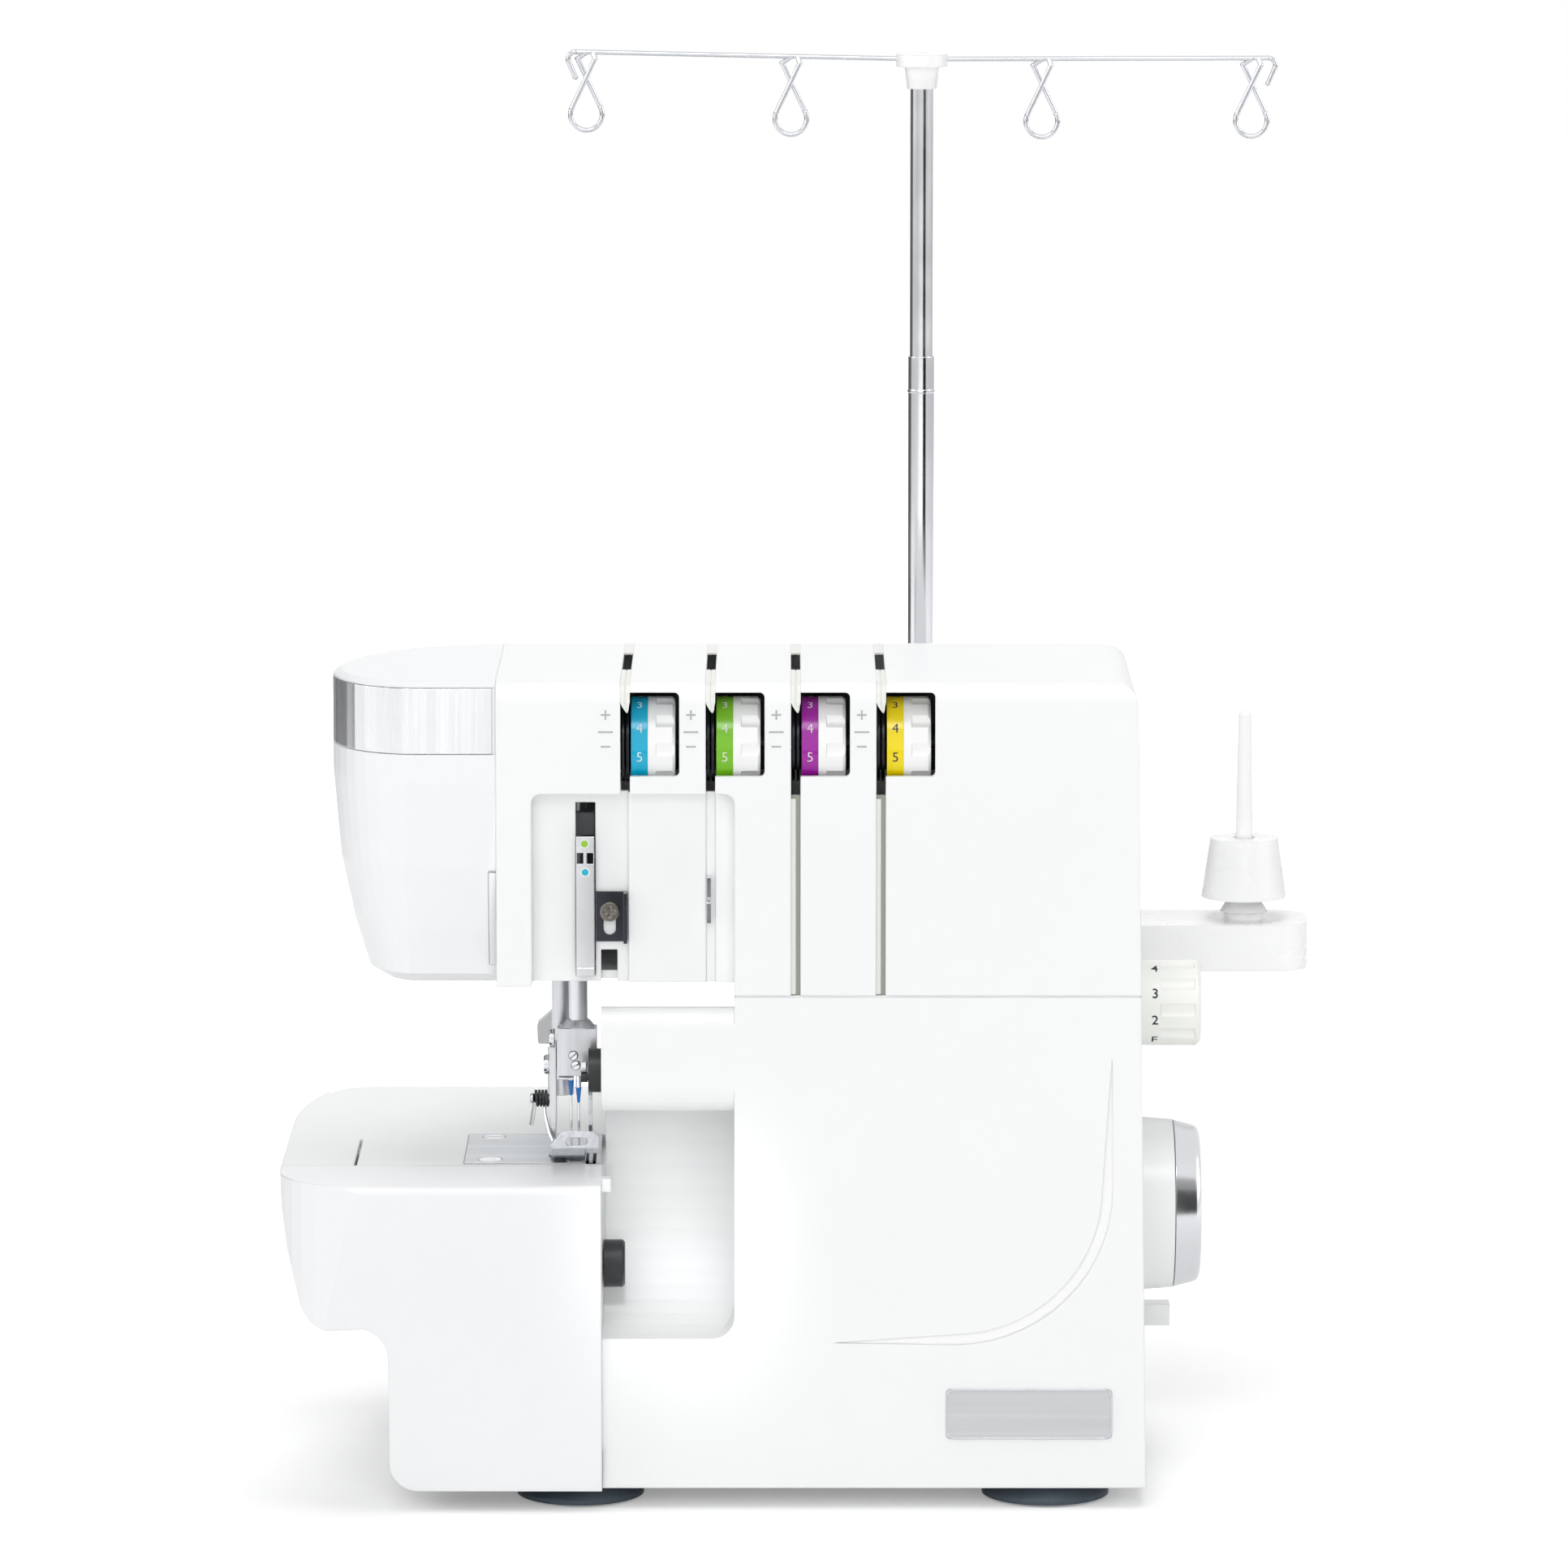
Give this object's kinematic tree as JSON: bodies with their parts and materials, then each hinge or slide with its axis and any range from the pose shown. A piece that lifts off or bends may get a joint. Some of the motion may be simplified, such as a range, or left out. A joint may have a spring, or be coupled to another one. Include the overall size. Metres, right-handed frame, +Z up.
{
  "type": "serger overlock machine",
  "caption": "Overlock sewing machine with hinged looper cover, tension dials, handwheel, needle mechanism and a telescoping thread guide over a spool tray.",
  "frame": {"origin": "on the table, under the middle of the machine's outer box", "axes": "+Z up, the front with the needles faces -Y, the handwheel is on +X"},
  "size_m": [0.364, 0.232, 0.4881],
  "materials": {
    "white_plastic": "glossy",
    "inner_plastic": "matte",
    "pale_plastic": "satin",
    "dark_plastic": "matte",
    "foot_rubber": "matte",
    "belt_rubber": "matte",
    "satin_chrome": "satin",
    "bright_chrome": "polished",
    "brushed_plate": "brushed",
    "steel": "polished",
    "casting": "cast",
    "motor_paint": "satin",
    "ring_cyan": "glossy",
    "ring_green": "glossy",
    "ring_purple": "glossy",
    "ring_yellow": "glossy"
  },
  "bodies": {
    "machine": {"base_pan": "dark_plastic", "rubber_feet": "foot_rubber", "lower_housing": "white_plastic", "upper_housing": "white_plastic", "rear_cover": "white_plastic", "face_cover": "white_plastic", "face_band": "satin_chrome", "bed_body": "inner_plastic", "cloth_plate": "white_plastic", "needle_plate": "brushed_plate", "plate_screws": "steel", "badge_plate": "brushed_plate", "machine_frame": "casting", "motor": "motor_paint", "drive_belt": "belt_rubber", "tension_posts": "steel", "slot_guides": "steel", "arm_thread_guide": "bright_chrome", "guide_screw": "bright_chrome", "looper_guides": "steel", "lower_knife": "steel", "power_inlet": "dark_plastic", "spool_tray": "pale_plastic", "spool_pins": "pale_plastic", "cone_holders": "pale_plastic", "mast_lower": "bright_chrome"},
    "looper_cover": {"looper_cover": "white_plastic"},
    "tension_dial_1": {"tension_knob_1": "white_plastic", "tension_ring_1": "ring_cyan"},
    "tension_dial_2": {"tension_knob_2": "white_plastic", "tension_ring_2": "ring_green"},
    "tension_dial_3": {"tension_knob_3": "white_plastic", "tension_ring_3": "ring_purple"},
    "tension_dial_4": {"tension_knob_4": "white_plastic", "tension_ring_4": "ring_yellow"},
    "stitch_length_dial": {"stitch_length_dial": "white_plastic"},
    "feed_lever": {"feed_lever": "white_plastic"},
    "handwheel": {"handwheel": "white_plastic", "handwheel_rim": "bright_chrome", "main_shaft": "steel"},
    "motor_pulley": {"motor_pulley": "dark_plastic"},
    "needle_bar": {"needle_bar": "steel", "needle_clamp": "steel", "needles": "steel", "take_up": "bright_chrome"},
    "presser_bar": {"presser_bar": "steel", "presser_holder": "steel", "presser_foot": "steel"},
    "foot_lifter": {"foot_lifter": "pale_plastic"},
    "lower_looper": {"lower_looper": "steel"},
    "upper_looper": {"upper_looper": "steel"},
    "upper_knife": {"upper_knife": "steel", "knife_knob": "dark_plastic"},
    "feed_dog": {"feed_dog": "steel"},
    "cutting_width_knob": {"cutting_width_knob": "dark_plastic"},
    "mast_upper": {"mast_upper": "bright_chrome"},
    "guide_bar": {"thread_guide_bar": "bright_chrome", "guide_cap": "pale_plastic"},
    "power_switch": {"power_switch": "dark_plastic"}
  },
  "joints": [
    {"name": "looper_cover_hinge", "type": "hinge", "parent": "machine", "child": "looper_cover", "pos_m": [-0.1, -0.1045, 0.0125], "axis": [1, 0, 0], "range_deg": [0, 85]},
    {"name": "tension_dial_1_turn", "type": "hinge", "parent": "machine", "child": "tension_dial_1", "pos_m": [-0.0545, -0.086, 0.2635], "axis": [1, 0, 0], "range_deg": [-144, 180]},
    {"name": "tension_dial_2_turn", "type": "hinge", "parent": "machine", "child": "tension_dial_2", "pos_m": [-0.0255, -0.086, 0.2635], "axis": [1, 0, 0], "range_deg": [-144, 180]},
    {"name": "tension_dial_3_turn", "type": "hinge", "parent": "machine", "child": "tension_dial_3", "pos_m": [0.0035, -0.086, 0.2635], "axis": [1, 0, 0], "range_deg": [-144, 180]},
    {"name": "tension_dial_4_turn", "type": "hinge", "parent": "machine", "child": "tension_dial_4", "pos_m": [0.0325, -0.086, 0.2635], "axis": [1, 0, 0], "range_deg": [-144, 180]},
    {"name": "stitch_length_turn", "type": "hinge", "parent": "machine", "child": "stitch_length_dial", "pos_m": [0.12, -0.02, 0.1616], "axis": [1, 0, 0], "range_deg": [-120, 120]},
    {"name": "feed_lever_slide", "type": "slide", "parent": "machine", "child": "feed_lever", "axis": [0, 1, 0], "range_m": [-0.012, 0.01]},
    {"name": "handwheel_turn", "type": "hinge", "parent": "machine", "child": "handwheel", "pos_m": [0.12, -0.02, 0.09], "axis": [1, 0, 0], "continuous": true},
    {"name": "motor_turn", "type": "hinge", "parent": "machine", "child": "motor_pulley", "pos_m": [0.096, 0.018, 0.045], "axis": [1, 0, 0], "continuous": true},
    {"name": "needle_bar_slide", "type": "slide", "parent": "machine", "child": "needle_bar", "axis": [0, 0, 1], "range_m": [-0.012, 0.01]},
    {"name": "presser_bar_slide", "type": "slide", "parent": "machine", "child": "presser_bar", "axis": [0, 0, 1], "range_m": [0, 0.006]},
    {"name": "foot_lifter_swing", "type": "hinge", "parent": "machine", "child": "foot_lifter", "pos_m": [-0.0929, 0.004, 0.189], "axis": [1, 0, 0], "range_deg": [0, 63]},
    {"name": "lower_looper_swing", "type": "hinge", "parent": "machine", "child": "lower_looper", "pos_m": [-0.1035, -0.05, 0.053], "axis": [0, 1, 0], "range_deg": [-16, 4]},
    {"name": "upper_looper_swing", "type": "hinge", "parent": "machine", "child": "upper_looper", "pos_m": [-0.0815, -0.045, 0.053], "axis": [0, 1, 0], "range_deg": [-10, 4]},
    {"name": "upper_knife_slide", "type": "slide", "parent": "machine", "child": "upper_knife", "axis": [0, 0, 1], "range_m": [-0.006, 0]},
    {"name": "feed_dog_slide", "type": "slide", "parent": "machine", "child": "feed_dog", "axis": [0, 1, 0], "range_m": [-0.0015, 0.0015]},
    {"name": "cutting_width_turn", "type": "hinge", "parent": "machine", "child": "cutting_width_knob", "pos_m": [-0.068, -0.085, 0.082], "axis": [1, 0, 0], "range_deg": [-90, 90]},
    {"name": "mast_slide", "type": "slide", "parent": "machine", "child": "mast_upper", "axis": [0, 0, 1], "range_m": [-0.095, 0]},
    {"name": "guide_bar_turn", "type": "hinge", "parent": "mast_upper", "child": "guide_bar", "pos_m": [0.041, 0.098, 0.48], "axis": [0, 0, 1], "range_deg": [-90, 90]},
    {"name": "power_switch_rock", "type": "hinge", "parent": "machine", "child": "power_switch", "pos_m": [0.1112, 0.017, 0.05], "axis": [0, 1, 0], "range_deg": [0, 10]}
  ],
  "couplings": [
    {"joint": "motor_turn", "follows": "handwheel_turn", "ratio": 2.8571},
    {"joint": "foot_lifter_swing", "follows": "presser_bar_slide", "rad_per_m": 174.53}
  ]
}
